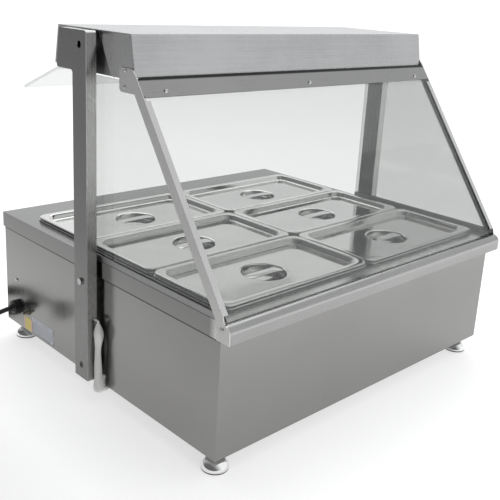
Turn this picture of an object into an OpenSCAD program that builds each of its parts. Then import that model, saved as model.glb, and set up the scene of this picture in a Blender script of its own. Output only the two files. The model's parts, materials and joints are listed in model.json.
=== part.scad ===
// Countertop steam table: six thirds-size pans in one heated well, with a lamp hood and sneeze glass.
// Millimetres. +X to the customer's right, -Y to the customer, +Z up. The origin is on the floor, mid-plan.

/* [Base] */
// Width of the worktop
body_w = 700; // [600:10:900]
// Depth of the worktop, without the front nose
body_d = 636; // [600:2:800]
// Floor to the top of the worktop
top_z = 250; // [200:5:320]
// Height of the feet under the body
foot_h = 32; // [20:1:60]
// Gauge of the body panels
sheet = 1.2; // [0.8:0.1:2]
// Gauge of the worktop
top_sheet = 1.5; // [1:0.1:2]
// Depth of the worktop's turned-down edge
apron_h = 28; // [20:1:40]
// Set-back of the side panels under the edge
panel_inset = 2; // [1:0.5:6]
// Set-back of the front panel behind the worktop's front edge
front_inset = 7.3; // [4:0.1:20]

/* [Front nose] */
// Reach of the nose in front of the worktop
nose_out = 14; // [8:1:30]
// Height of the nose
nose_h = 27.5; // [20:0.5:40]
// Radius of the nose's top edge
nose_r = 12; // [6:1:14]
// Dark joint between the worktop and the nose
nose_gap = 1.6; // [1:0.1:3]

/* [Pans and lids] */
// Width of one pan place, across the table
pan_w = 325; // [325:1:325]
// Length of one pan place, front to back
pan_l = 176.67; // [176:0.01:177]
// Depth of a pan
pan_depth = 100; // [65:5:150]
// Distance from the worktop's front edge to the first pan place
pan_front = 26.5; // [20:0.5:60]
// Corner radius of the pan and lid rims
rim_r = 16; // [8:1:24]
// Depth of the lid's recess
lid_recess = 10; // [6:1:16]
// Diameter of the handle dish in the lid
dish_d = 76; // [50:1:100]

/* [Hood] */
// Floor to the top of the hood
hood_z = 613; // [500:1:700]
// Depth of the hood's top
hood_top_d = 198; // [150:2:260]
// Depth of the hood at its lower lip
hood_low_d = 220; // [160:2:280]
// Height of the hood
hood_h = 60.5; // [40:0.5:90]
// Width of a post, across the table
post_w = 18; // [12:1:30]
// Depth of a post, front to back
post_d = 38; // [24:1:60]
// Gap between a post and the worktop's edge
post_gap = 5.3; // [3:0.1:10]

/* [Glass] */
// Thickness of the glass panels
glass_t = 5; // [4:0.5:6]
// Lean of the front glass from upright
glass_lean = 34.88; // [20:0.01:50]
// Height of the front glass's lower front edge line
glass_low_z = 259.8; // [252:0.1:300]
// Length of the strut's front leg along the slope
strut_len = 321.6; // [200:0.1:400]

/* [Mains cord] */
// Diameter of the mains cord
cord_d = 9; // [7:0.5:11]
// Radius of the wound spare cord, at the middle of its turns
coil_r = 54; // [45:1:65]
// Height of the wound spare cord's underside, which the tie passes below
coil_lift = 1; // [1:0.5:2]

/* [Hidden] */
$fn = 48;
eps = 0.01;
hw = body_w/2;
nose_y = -335.5;
yf = nose_y + nose_out;
yr = yf + body_d;
zb = foot_h;
apron_z = top_z - apron_h;
side_x = hw - panel_inset;
shell_y0 = yf + front_inset;
shell_y1 = yr - 3;
in_x = side_x - sheet;
rear_in = shell_y1 - sheet;

// Pan grid
place_x = pan_w/2;
row0 = yf + pan_front + pan_l/2;
rows = [row0, row0 + pan_l, row0 + 2*pan_l];
rim_clear = 1.4;
rim_w = pan_w - rim_clear;
rim_l = pan_l - rim_clear;
wall_t = 1;
pan_in_w = 305;
pan_in_l = 156.6;
pan_out_w = pan_in_w + 2*wall_t;
pan_out_l = pan_in_l + 2*wall_t;
pan_corner = 14;
seat = 0.3;
pan_z0 = top_z + seat;
pan_top = top_z + 3.7;
lid_z0 = pan_top + seat;
lid_top = top_z + 8.2;
lid_in_w = 300.6;
lid_in_l = 152.2;
lid_floor = lid_top - lid_recess;
dish_depth = 12;
dish_wall = 0.8;
strap_w = 20;
strap_t = 2.4;
ledge = 5.4;
well_x = pan_w - ledge;
well_y0 = yf + pan_front + ledge;
well_y1 = yf + pan_front + 3*pan_l - ledge;
well_z = 95;
element_r = 3.95;
element_z = 112;
element_y0 = -180;
element_y1 = 140;
bend_r = 60;
bar_w = 2*ledge;
bar_t = 2.5;
bar_web = 12;

// Screws and bolts
screw_head_r = 4;
screw_head_h = 2.2;
screw_r = 2;
bolt_r = 3;
bolt_head_r = 5.5;
bolt_head_h = 3.2;
bolt_hole_r = 3.2;
access_r = 5.6;
bolt_zs = [65, 214, 590.5];
side_bolt_zs = [65, 214];

// Posts
post_x0 = hw + post_gap;
post_x1 = post_x0 + post_w;
post_y = post_d/2;
post_z0 = 41.2;
post_z1 = 611.5;
head_z = 551;
head_y_low = 65.5;
head_y_top = 56.5;
head_r = 4.5;
post_t = 1.5;

// Hood
hood_z0 = hood_z - hood_h;
lip = 8;
hood_end_x = 345;
hood_end_z = 547.6;
hood_skin = hood_top_d/2 - 1;
hood_skin_low = hood_low_d/2 - 1.22;
lamp_z = 585;
lamp_r = 6;
holder_x = 312;
visor = [[105.5, 546.3], [219, 502], [217.2, 497.3], [103.7, 541.6]];
visor_fall = (visor[0][1] - visor[1][1])/(visor[1][0] - visor[0][0]);

// Sloping front
slope_y = -320.4;
leg_t = 2;
leg_w = 10.5;
strut_w = 16.5;
rail_s0 = 326.5;
rail_s1 = 358.5;
rail_r = 5;
rail_screw_s = 334.9;
rail_screw_xs = [-308.3, 0, 308.3];
glass_s0 = -6;
glass_s1 = 353;
glass_x = 347;
head_screws = [[-87.1, 560.5], [-85.4, 536.8]];
foot_screw = [-319.1, 240.9];

// Side glass and its channel
side_glass_x = 343;
side_glass_z0 = top_z + 2;
side_glass_z1 = 544.5;
side_glass_y1 = 18;
channel_x0 = 341.5;
channel_x1 = 349.5;
channel_h = 9.5;
glass_back = leg_t + glass_t;

// Rear controls
panel_z = 130;
knob_x = -240;
power_x = -150;
lamp_x = -100;
light_x = -60;
knob_r = 22;
knob_h = 23;
spindle_r = 3;
spindle_bore = 3.05;
rocker_rest = -8;
rocker_y = shell_y1 - 3.5;
rocker_w = 16;
rocker_bore = 12.3;

// Feet
foot_xs = [-324, 324];
foot_ys = [-288, 281];
foot_disc_r = 21;
stem_r = 5;
stem_bore = 5.05;
stem_top = 46;

// Mains entry
gland_y = 272.9;
gland_z = 67.7;
gland_r = 14;
cord_r = cord_d/2;
cord_x = -362;
pitch = cord_d - 0.2;
coil_c = [-408, 440, 0];
coil_h = coil_lift + pitch + cord_d;
plug_c = [-468, 346, 18];
lead_pts = [[cord_x, gland_y, gland_z], [-371, 273.2, 67], [-382, 275.5, 64], [-393, 282, 58.5],
            [-401, 293, 51], [-405, 307, 42], [-406, 322, 33], [-404, 338, 24], [-399, 353, 16.5],
            [-391, 367, 11], [-381, 380, 7.5], [-370, 392, 6], [-361, 403, 5.5], [-354.5, 415.5, 5.5],
            [-350.5, 428, 5.5], [-349.6, 440, 5.5]];
tail_pts = [[-466.4, 440, 14.3], [-466.4, 424, 14.2], [-466.6, 408, 13.8], [-467, 392, 14.2],
            [-467.5, 376, 16], [-468, 360, 17.6], plug_c];
cord_sides = 10;

// Lamp lead: the sleeve's half-width at each height, then its tuck under the body
sleeve_x = -359.4;
sleeve_y = -30;
sleeve_exit_x = -359.5;
sleeve_exit_z = 149;
sleeve_entry_x = -334;
sleeve_profile = [[0, 152], [5.5, 142], [9.4, 130], [9.2, 122], [5.8, 104], [5.6, 97], [6.8, 78], [7.6, 62],
                  [7.4, 50], [9, 40], [10.5, 34], [9.5, 25], [0, 20]];

// Helpers
module block(x0, x1, y0, y1, z0, z1) {
    translate([x0, y0, z0]) cube([x1 - x0, y1 - y0, z1 - z0]);
}

module along_x(x0, x1) {
    translate([x0, 0, 0]) rotate([90, 0, 90]) linear_extrude(x1 - x0) children();
}

module rod_x(x0, x1, y, z, r) {
    translate([x0, y, z]) rotate([0, 90, 0]) cylinder(h = x1 - x0, r = r);
}

module rod_y(y0, y1, x, z, r) {
    translate([x, y0, z]) rotate([-90, 0, 0]) cylinder(h = y1 - y0, r = r);
}

module both_sides() {
    children();
    mirror([1, 0, 0]) children();
}

module round_rect(w, l, r) {
    square([w - 2*r, l], center = true);
    square([w, l - 2*r], center = true);
    for (sx = [-1, 1], sy = [-1, 1])
        translate([sx*(w/2 - r), sy*(l/2 - r)]) circle(r = r);
}

// Points of an arc of radius r that rounds the corner q between p and s
function unit(v) = v/norm(v);
function fillet(p, q, s, r) = let (u = unit(p - q), v = unit(s - q), half = acos(u*v)/2,
    c = q + unit(u + v)*r/sin(half), a = q + u*r/tan(half) - c, b = q + v*r/tan(half) - c)
    [for (t = [0:0.2:1]) c + r*unit(a*(1 - t) + b*t)];

// Frame whose Z runs up the front slope, Y into the table, with its origin on the slope's outer face
module on_slope() {
    translate([0, slope_y, glass_low_z]) rotate([-glass_lean, 0, 0]) children();
}

// Plan position, at height z, of a plane that lies depth behind the slope's outer face
function behind_slope(depth, z) = slope_y + depth/cos(glass_lean) + (z - glass_low_z)*tan(glass_lean);

function slope_pt(y, s) = [slope_y + y*cos(glass_lean) + s*sin(glass_lean),
                           glass_low_z - y*sin(glass_lean) + s*cos(glass_lean)];

// Base
module worktop() color("silver") difference() {
    block(-hw, hw, yf + nose_gap/2, yr, apron_z, top_z);
    block(-hw + sheet, hw - sheet, yf + nose_gap/2 + sheet, yr - sheet, apron_z - eps, top_z - top_sheet);
    block(-hw + sheet, hw - sheet, yf, yf + nose_gap/2 + sheet + eps, apron_z - eps, top_z - 6);
    block(-well_x, well_x, well_y0, well_y1, top_z - 2*top_sheet, top_z + eps);
    both_sides() rod_x(hw - 2*sheet, hw + eps, foot_screw[0], foot_screw[1], screw_r);
}

module nose_2d(inset) {
    z0 = top_z - nose_h;
    zc = top_z - 0.2 - nose_r;
    translate([nose_y + inset, z0 + inset]) square([nose_out - nose_gap/2 - 2*inset, zc - z0 - inset]);
    translate([nose_y + nose_r, zc]) intersection() {
        circle(r = nose_r - inset);
        translate([-nose_r, 0]) square([nose_r, nose_r]);
    }
    translate([nose_y + nose_r - eps, zc - eps])
        square([nose_out - nose_gap/2 - nose_r - inset + eps, nose_r - inset + eps]);
}

module front_nose() color("silver") {
    difference() {
        along_x(-hw, hw) nose_2d(0);
        along_x(-hw + sheet, hw - sheet) nose_2d(sheet);
    }
    block(-side_x, side_x, yf - nose_gap/2 - eps, shell_y0, top_z - nose_h, top_z - nose_h + sheet);
}

module body_shell() color("gainsboro") difference() {
    block(-side_x, side_x, shell_y0, shell_y1, zb, top_z - top_sheet);
    block(-in_x, in_x, shell_y0 + sheet, shell_y1 + eps, zb - eps, top_z);
    for (z = side_bolt_zs) both_sides() rod_x(in_x - 1, side_x + 1, 0, z, bolt_hole_r);
    rod_x(-side_x - 1, -in_x + 1, gland_y, gland_z, gland_r - 4);
    rod_x(-side_x - 1, -in_x + 1, 229, 71.8, bolt_r);
    both_sides() rod_x(in_x - 1, side_x + 1, 271.2, 124.2, screw_r);
}

module rear_panel() color("gainsboro") difference() {
    block(-in_x, in_x, rear_in, shell_y1, zb, top_z - top_sheet);
    rod_y(rear_in - 1, shell_y1 + 1, knob_x, panel_z, spindle_r + 2);
    rod_y(rear_in - 1, shell_y1 + 1, light_x, panel_z, 5);
    for (x = [power_x, lamp_x])
        block(x - 10.5, x + 10.5, rear_in - 1, shell_y1 + 1, panel_z - 14.5, panel_z + 14.5);
    for (x = [-320, 0, 320]) rod_y(rear_in - 1, shell_y1 + 1, x, zb + 8, screw_r);
}

module bottom_tray() color("gainsboro") difference() {
    block(-in_x, in_x, shell_y0 + sheet, rear_in, zb, zb + 14);
    block(-in_x + sheet, in_x - sheet, shell_y0 + 2*sheet, rear_in - sheet, zb + sheet, zb + 15);
    for (x = foot_xs, y = foot_ys) translate([x, y, zb - 1]) cylinder(h = 4, r = 7);
    translate([sleeve_entry_x, sleeve_y, zb - 1]) cylinder(h = 4, r = 5.6);
    for (x = [-320, 0, 320]) rod_y(rear_in - 3, rear_in + 1, x, zb + 8, screw_r);
}

module well_tank() color("silver") difference() {
    block(-well_x - sheet, well_x + sheet, well_y0 - sheet, well_y1 + sheet, well_z, top_z - top_sheet);
    block(-well_x, well_x, well_y0, well_y1, well_z + sheet, top_z);
    for (x = [-3*bend_r, 3*bend_r]) rod_y(well_y1 - 1, well_y1 + 3, x, element_z, element_r + 0.05);
}

module pan_supports() color("silver") {
    block(-bar_w/2, bar_w/2, well_y0, well_y1, top_z - bar_t, top_z);
    block(-0.6, 0.6, well_y0, well_y1, top_z - bar_web, top_z - bar_t + eps);
    for (i = [0, 1]) {
        y = (rows[i] + rows[i + 1])/2;
        block(-well_x, well_x, y - bar_w/2, y + bar_w/2, top_z - bar_t, top_z);
        block(-well_x, well_x, y - 0.6, y + 0.6, top_z - bar_web, top_z - bar_t + eps);
    }
}

module bend(x, y, turn) {
    translate([x, y, element_z]) rotate([0, 0, turn])
        rotate_extrude(angle = 180) translate([bend_r, 0]) circle(r = element_r);
}

module heating_element() color("dimgray") {
    for (x = [-3*bend_r, 3*bend_r]) {
        rod_y(element_y0, well_y1 + 15, x, element_z, element_r);
        rod_y(well_y1 + sheet, well_y1 + 8, x, element_z, 9);
        rod_y(well_y1 - 6, well_y1, x, element_z, 9);
    }
    for (x = [-bend_r, bend_r]) rod_y(element_y0, element_y1, x, element_z, element_r);
    bend(-2*bend_r, element_y0, 180);
    bend(2*bend_r, element_y0, 180);
    bend(0, element_y1, 0);
}

// Posts
module post_2d(t) {
    foot = post_z0 - (t > 0 ? 5 : 0);
    inner = [post_y - t, head_z + t];
    low = [head_y_low - t, head_z + t];
    high = [head_y_top - t, post_z1 - t];
    front = [-post_y + t, post_z1 - t];
    polygon(concat([[-post_y + t, foot], [post_y - t, foot], inner], fillet(inner, low, high, head_r - t),
        fillet(low, high, front, head_r - t), fillet(high, front, [-post_y + t, foot], head_r - t)));
}

module post_right() color("gainsboro") difference() {
    union() {
        along_x(post_x0, post_x1) post_2d(0);
        difference() {
            block(post_x0, post_x1, post_y - eps, post_y + 5, head_z - 5, head_z + eps);
            rod_x(post_x0 - 1, post_x1 + 1, post_y + 5, head_z - 5, 5);
        }
    }
    along_x(post_x0 + post_t, post_x1 - post_t) post_2d(post_t);
    for (z = bolt_zs) rod_x(post_x0 - 1, post_x0 + 3, 0, z, bolt_hole_r);
    rod_x(post_x1 - 3, post_x1 + 1, 0, bolt_zs[1], bolt_hole_r);
    for (z = [bolt_zs[0], bolt_zs[2]]) rod_x(post_x1 - 3, post_x1 + 1, 0, z, access_r);
}

module post_left() difference() {
    mirror([1, 0, 0]) post_right();
    rod_y(-post_y - 1, -post_y + post_t + 1, sleeve_exit_x, sleeve_exit_z, 2.6);
}

module spacer(x0, z) {
    difference() {
        rod_x(x0, post_x0, 0, z, 7);
        rod_x(x0 - 1, post_x0 + 1, 0, z, bolt_hole_r);
    }
}

module post_spacers() color("gray") both_sides() {
    for (z = side_bolt_zs) spacer(side_x, z);
    spacer(hood_end_x + sheet, bolt_zs[2]);
}

module post_bolt(head_x, tip_x, z) {
    rod_x(head_x, head_x + bolt_head_h, 0, z, bolt_head_r);
    rod_x(tip_x, head_x + eps, 0, z, bolt_r);
    rod_x(tip_x + 1, tip_x + 4, 0, z, bolt_head_r);
}

module post_bolts() color("gainsboro") both_sides() {
    post_bolt(post_x0 + post_t, in_x - 5, bolt_zs[0]);
    post_bolt(post_x1, in_x - 5, bolt_zs[1]);
    post_bolt(post_x0 + post_t, hood_end_x - 5, bolt_zs[2]);
}

// Hood
module hood_flange() {
    along_x(hw - sheet, hw)
        polygon([[-hood_top_d/2, hood_z], [-16.5, hood_z], [-49, 552], [-52, 549], [-57, 547.5],
                 [-63, 548.5], [-hood_low_d/2, hood_z0]]);
}

module hood_shell() color("gainsboro") {
    difference() {
        along_x(-hw, hw)
            polygon([[-hood_top_d/2, hood_z], [hood_top_d/2, hood_z], [hood_low_d/2, hood_z0],
                     [-hood_low_d/2, hood_z0]]);
        along_x(-hw - 1, hw + 1)
            polygon([[-hood_skin, hood_z - sheet], [hood_skin, hood_z - sheet],
                     [hood_skin_low, hood_z0 - eps], [-hood_skin_low, hood_z0 - eps]]);
    }
    for (s = [-1, 1]) {
        ylip = s > 0 ? hood_skin_low - lip : -hood_skin_low - eps;
        block(-hw, hw, ylip, ylip + lip + eps, hood_z0, hood_z0 + sheet);
    }
    difference() {
        both_sides() {
            hood_flange();
            mirror([0, 1, 0]) hood_flange();
        }
        both_sides() rod_x(hw - 3, hw + 1, head_screws[0][0], head_screws[0][1], screw_r);
    }
}

module hood_ends() color("gray") both_sides() difference() {
    block(hood_end_x, hood_end_x + sheet, -97, 97, hood_end_z, hood_z - sheet);
    rod_x(hood_end_x - 1, hood_end_x + 3, 0, bolt_zs[2], bolt_hole_r);
}

module lamp_reflector() color("white") difference() {
    along_x(-330, 330)
        polygon([[-85, 566], [-50, hood_z - sheet], [50, hood_z - sheet], [85, 566]]);
    along_x(-331, 331)
        polygon([[-84, 565.9], [-49.4, hood_z - sheet - 0.8], [49.4, hood_z - sheet - 0.8], [84, 565.9]]);
}

module lamp_holders() color("ivory") both_sides()
    block(holder_x, holder_x + 16, -12, 12, lamp_z - 13, hood_z - sheet - 0.8);

module heat_lamp() color("mistyrose") {
    rod_x(-holder_x, holder_x, 0, lamp_z, lamp_r);
    both_sides() rod_x(holder_x - 14, holder_x, 0, lamp_z, lamp_r + 1.5);
}

module rear_visor() color("lightcyan") along_x(-hw + 0.9, hw - 0.9) polygon(visor);

module visor_clips() color("gainsboro") for (x = [-260, 0, 260])
    along_x(x - 12, x + 12)
        polygon([[101, hood_z0], [109, hood_z0], [126, visor[0][1] - (126 - visor[0][0])*visor_fall],
                 [109, visor[0][1] - (109 - visor[0][0])*visor_fall]]);

// Sloping front
module front_glass() color("lightcyan") difference() {
    on_slope() block(-glass_x, glass_x, leg_t, leg_t + glass_t, glass_s0, glass_s1);
    on_slope() for (x = rail_screw_xs) rod_y(leg_t - 1, leg_t + glass_t + 1, x, rail_screw_s, screw_r);
}

module top_rail() color("gainsboro") difference() {
    on_slope() translate([0, leg_t, (rail_s0 + rail_s1)/2]) rotate([90, 0, 0])
        linear_extrude(leg_t) round_rect(2*hw, rail_s1 - rail_s0, rail_r);
    on_slope() for (x = rail_screw_xs) rod_y(-1, leg_t + 1, x, rail_screw_s, screw_r);
}

module strut_plate_2d() {
    foot_arc = [for (a = [180:-15:90])
        [nose_y + nose_r + nose_r*cos(a), top_z - 0.2 - nose_r + nose_r*sin(a)]];
    polygon(concat([[nose_y, top_z - nose_h]], foot_arc,
        [slope_pt(0, 0), slope_pt(0, rail_s1), [-108.5, 562], [-105.5, 565], [-78.5, 565], [-74.5, 561],
         [-74.5, 533.5], [-78.5, 529.5], [-112.5, 529.5], slope_pt(strut_w, 320), slope_pt(strut_w, 5),
         [yf + 12, top_z - 12], [yf + 12, top_z - nose_h]]));
}

module strut_right() color("gray") {
    difference() {
        along_x(hw, hw + leg_t) strut_plate_2d();
        for (p = concat(head_screws, [foot_screw])) rod_x(hw - 1, hw + leg_t + 1, p[0], p[1], screw_r);
    }
    along_x(hw + leg_t - leg_w, hw)
        polygon([slope_pt(0, 1), slope_pt(0, strut_len), slope_pt(leg_t, strut_len), slope_pt(leg_t, 1)]);
}

module strut_left() mirror([1, 0, 0]) strut_right();

module side_glass_right() color("lightcyan") difference() {
    along_x(side_glass_x, side_glass_x + glass_t)
        polygon([[behind_slope(glass_back + 0.2, side_glass_z0), side_glass_z0],
                 [behind_slope(glass_back + 0.2, side_glass_z1), side_glass_z1],
                 [side_glass_y1, side_glass_z1], [side_glass_y1, side_glass_z0]]);
    rod_x(side_glass_x - 1, side_glass_x + glass_t + 1, head_screws[1][0], head_screws[1][1], screw_r);
}

module side_glass_left() mirror([1, 0, 0]) side_glass_right();

module glass_channels() color("gainsboro") both_sides() difference() {
    along_x(channel_x0, channel_x1)
        polygon([[behind_slope(glass_back + 0.3, top_z), top_z],
                 [behind_slope(glass_back + 0.3, top_z + channel_h), top_z + channel_h],
                 [side_glass_y1, top_z + channel_h], [side_glass_y1, top_z]]);
    block(side_glass_x, side_glass_x + glass_t, yf, side_glass_y1 + 1, side_glass_z0, top_z + 20);
}

module dome_screw(tip) {
    cylinder(h = screw_head_h, r1 = screw_head_r, r2 = screw_head_r - 1.4);
    translate([0, 0, -tip]) cylinder(h = tip + eps, r = screw_r);
}

module glazing_screws() color("gainsboro") {
    for (x = rail_screw_xs) on_slope() translate([x, 0, rail_screw_s]) rotate([90, 0, 0]) {
        dome_screw(glass_back + 4);
        translate([0, 0, -glass_back - 3]) cylinder(h = 3, r = screw_head_r);
    }
    both_sides() {
        translate([hw + leg_t, head_screws[0][0], head_screws[0][1]]) rotate([0, 90, 0]) dome_screw(5);
        translate([hw + leg_t, head_screws[1][0], head_screws[1][1]]) rotate([0, 90, 0]) {
            dome_screw(hw + leg_t - side_glass_x + 4);
            translate([0, 0, side_glass_x - hw - leg_t - 3]) cylinder(h = 3, r = screw_head_r);
        }
        translate([hw + leg_t, foot_screw[0], foot_screw[1]]) rotate([0, 90, 0]) dome_screw(leg_t + sheet);
    }
}

// Pans and lids
module pan(x, y) color("silver") translate([x, y, 0]) difference() {
    union() {
        translate([0, 0, pan_z0]) linear_extrude(pan_top - pan_z0) round_rect(rim_w, rim_l, rim_r);
        translate([0, 0, pan_top - pan_depth]) linear_extrude(pan_depth - 1)
            round_rect(pan_out_w, pan_out_l, pan_corner + wall_t);
    }
    translate([0, 0, pan_top - pan_depth + wall_t]) linear_extrude(pan_depth)
        round_rect(pan_in_w, pan_in_l, pan_corner);
    difference() {
        translate([0, 0, pan_z0 - 1]) linear_extrude(pan_top - pan_z0 - wall_t + 1)
            round_rect(rim_w - 2*wall_t, rim_l - 2*wall_t, rim_r - wall_t);
        translate([0, 0, pan_z0 - 2]) linear_extrude(6)
            round_rect(pan_out_w, pan_out_l, pan_corner + wall_t);
    }
}

module lid(x, y) color("silver") translate([x, y, 0]) {
    difference() {
        union() {
            translate([0, 0, lid_z0]) linear_extrude(lid_top - lid_z0) round_rect(rim_w, rim_l, rim_r);
            translate([0, 0, lid_floor - wall_t]) linear_extrude(lid_recess)
                round_rect(lid_in_w + 2*wall_t, lid_in_l + 2*wall_t, pan_corner);
            translate([0, 0, lid_floor - dish_depth]) cylinder(h = dish_depth, r = dish_d/2 + dish_wall);
        }
        translate([0, 0, lid_floor]) linear_extrude(lid_recess + 1)
            round_rect(lid_in_w, lid_in_l, pan_corner - wall_t);
        translate([0, 0, lid_floor - dish_depth + dish_wall]) cylinder(h = dish_depth + 2, r = dish_d/2);
        difference() {
            translate([0, 0, lid_z0 - 1]) linear_extrude(lid_top - lid_z0 - wall_t + 1)
                round_rect(rim_w - 2*wall_t, rim_l - 2*wall_t, rim_r - wall_t);
            translate([0, 0, lid_z0 - 2]) linear_extrude(6)
                round_rect(lid_in_w + 2*wall_t, lid_in_l + 2*wall_t, pan_corner);
        }
    }
    intersection() {
        block(-dish_d, dish_d, -strap_w/2, strap_w/2, lid_floor - strap_t, lid_floor);
        translate([0, 0, lid_floor - dish_depth]) cylinder(h = dish_depth, r = dish_d/2 + dish_wall/2);
    }
}

module pan_front_left() pan(-place_x, rows[0]);
module pan_middle_left() pan(-place_x, rows[1]);
module pan_rear_left() pan(-place_x, rows[2]);
module pan_front_right() pan(place_x, rows[0]);
module pan_middle_right() pan(place_x, rows[1]);
module pan_rear_right() pan(place_x, rows[2]);
module lid_front_left() lid(-place_x, rows[0]);
module lid_middle_left() lid(-place_x, rows[1]);
module lid_rear_left() lid(-place_x, rows[2]);
module lid_front_right() lid(place_x, rows[0]);
module lid_middle_right() lid(place_x, rows[1]);
module lid_rear_right() lid(place_x, rows[2]);

// Controls on the operator's side
module thermostat_body() color("ivory") difference() {
    union() {
        block(knob_x - 18, knob_x + 18, rear_in - 28, rear_in, panel_z - 18, panel_z + 18);
        rod_y(rear_in - eps, shell_y1 + 1, knob_x, panel_z, spindle_r + 1.9);
    }
    rod_y(rear_in - 14, shell_y1 + 2, knob_x, panel_z, spindle_bore);
}

module thermostat_knob() color("black") difference() {
    union() {
        rod_y(shell_y1 + 1.3, shell_y1 + 8, knob_x, panel_z, knob_r);
        rod_y(shell_y1 + 8 - eps, shell_y1 + 1 + knob_h, knob_x, panel_z, knob_r - 4);
        rod_y(rear_in - 13, shell_y1 + 3, knob_x, panel_z, spindle_r);
    }
    block(knob_x - 1.2, knob_x + 1.2, shell_y1 + knob_h, shell_y1 + knob_h + 2, panel_z, panel_z + knob_r);
}

module switch_housings() color("black") for (x = [power_x, lamp_x]) difference() {
    union() {
        block(x - 10.4, x + 10.4, rear_in - 20, shell_y1 + 2 - eps, panel_z - 14.4, panel_z + 14.4);
        block(x - 12, x + 12, shell_y1, shell_y1 + 2, panel_z - 17, panel_z + 17);
    }
    rod_x(x - rocker_w/2 - 0.3, x + rocker_w/2 + 0.3, rocker_y, panel_z, rocker_bore);
    block(x - rocker_w/2 - 0.3, x + rocker_w/2 + 0.3, rocker_y, shell_y1 + 3,
          panel_z - rocker_bore, panel_z + rocker_bore);
    rod_x(x - rocker_w/2 - 2, x + rocker_w/2 + 2, rocker_y, panel_z, 1.55);
}

module rocker(x) translate([x, rocker_y, panel_z]) rotate([rocker_rest, 0, 0]) {
    along_x(-rocker_w/2, rocker_w/2)
        polygon([[-4, -8], [6.5, -10], [4.5, 0], [6.5, 10], [-4, 8]]);
    rod_x(-rocker_w/2 - 1.5, rocker_w/2 + 1.5, 0, 0, 1.5);
}

module power_rocker() color("green") rocker(power_x);
module lamp_rocker() color("green") rocker(lamp_x);

module indicator_lamp() color("orange") {
    rod_y(rear_in - 16, shell_y1 + eps, light_x, panel_z, 4.9);
    rod_y(shell_y1, shell_y1 + 2, light_x, panel_z, 7);
    rod_y(shell_y1 + 2 - eps, shell_y1 + 6, light_x, panel_z, 5);
}

// Feet
module foot(x, y) color("gainsboro") translate([x, y, 0]) rotate_extrude() polygon([
    [0, 0], [foot_disc_r, 0], [foot_disc_r, 5], [foot_disc_r - 1.6, 9], [foot_disc_r - 5.2, 14], [9.5, 18],
    [8, 18], [8, zb - 0.3], [stem_r, zb - 0.3], [stem_r, stem_top], [0, stem_top]]);

module foot_front_left() foot(foot_xs[0], foot_ys[0]);
module foot_front_right() foot(foot_xs[1], foot_ys[0]);
module foot_rear_left() foot(foot_xs[0], foot_ys[1]);
module foot_rear_right() foot(foot_xs[1], foot_ys[1]);

module foot_sockets() color("gray") for (x = foot_xs, y = foot_ys) translate([x, y, 0]) difference() {
    union() {
        translate([0, 0, zb]) cylinder(h = 10, r = 7);
        translate([0, 0, zb + sheet]) cylinder(h = 9, r = 12, $fn = 6);
    }
    translate([0, 0, zb - 1]) cylinder(h = 20, r = stem_bore);
}

// Mains entry and cord
function unit(v) = v/norm(v);
function spline(p, i, t) =
    let (a = p[max(i - 1, 0)], b = p[i], c = p[i + 1], d = p[min(i + 2, len(p) - 1)])
    0.5*(2*b + (c - a)*t + (2*a - 5*b + 4*c - d)*t*t + (3*b - a - 3*c + d)*t*t*t);
function path(p, n) = concat([for (i = [0:len(p) - 2], j = [0:n - 1]) spline(p, i, j/n)], [p[len(p) - 1]]);
function tangent(q, i) = unit(q[min(i + 1, len(q) - 1)] - q[max(i - 1, 0)]);
function side_of(t) = unit(cross(t, [0, 0, 1]));

module tube(q, r, n) {
    m = len(q);
    pts = [for (i = [0:m - 1], k = [0:n - 1])
        let (t = tangent(q, i), u = side_of(t), v = cross(u, t))
        q[i] + r*(u*cos(360*k/n) + v*sin(360*k/n))];
    sides = [for (i = [0:m - 2], k = [0:n - 1])
        [i*n + k, i*n + (k + 1)%n, (i + 1)*n + (k + 1)%n, (i + 1)*n + k]];
    start = [for (k = [n - 1:-1:0]) k];
    finish = [for (k = [0:n - 1]) (m - 1)*n + k];
    polyhedron(points = pts, faces = concat(sides, [start], [finish]));
}

module cable_gland() color("black") difference() {
    union() {
        rod_x(-side_x - 9, -side_x, gland_y, gland_z, gland_r);
        translate([cord_x, gland_y, gland_z]) rotate([0, 90, 0])
            cylinder(h = -side_x - 9 - cord_x + eps, r1 = cord_r + 2, r2 = gland_r - 3);
        rod_x(-side_x - eps, -in_x + 6, gland_y, gland_z, gland_r - 4.1);
        rod_x(-in_x, -in_x + 5, gland_y, gland_z, gland_r);
    }
    rod_x(-in_x - 6, -in_x + 8, gland_y, gland_z, cord_r + 1);
}

module mains_cord() color("black") {
    tube(path(lead_pts, 3), cord_r, cord_sides);
    tube(path(tail_pts, 3), cord_r, cord_sides);
}

module mains_cord_coil() color("black") translate(coil_c)
    for (side = [-0.5, 0.5], row = [0, 1])
        rotate_extrude()
            translate([coil_r + side*pitch, coil_lift + cord_r + row*pitch]) circle(r = cord_r);

module cord_tie() color("dimgray") translate(coil_c + [0, coil_r, 0]) difference() {
    block(-5, 5, -cord_d - 2, cord_d + 2, 0, coil_h + 1.5);
    block(-6, 6, -cord_d - 0.4, cord_d + 0.4, coil_lift - 0.2, coil_h + 0.3);
}

module mains_plug() color("black") translate(plug_c) rotate([90, 0, 0]) {
    cylinder(h = 24, r1 = cord_r + 1.5, r2 = 11);
    translate([0, 0, 24 - eps]) cylinder(h = 24, r = 16);
    translate([0, 0, 38]) cylinder(h = 10, r = 18);
    for (x = [-9.5, 9.5]) translate([x, 0, 48 - eps]) cylinder(h = 19, r = 2.4);
}

// Small things on the left side
module bonding_stud() color("gold") {
    rod_x(-side_x - 12, -in_x + 6, 229, 71.8, bolt_r - 0.1);
    rod_x(-side_x - 1.5, -side_x, 229, 71.8, 7);
    translate([-side_x - 5.5, 229, 71.8]) rotate([0, 90, 0]) cylinder(h = 4.1, r = 5.5, $fn = 6);
    rod_x(-in_x, -in_x + 3, 229, 71.8, 6);
}

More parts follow.
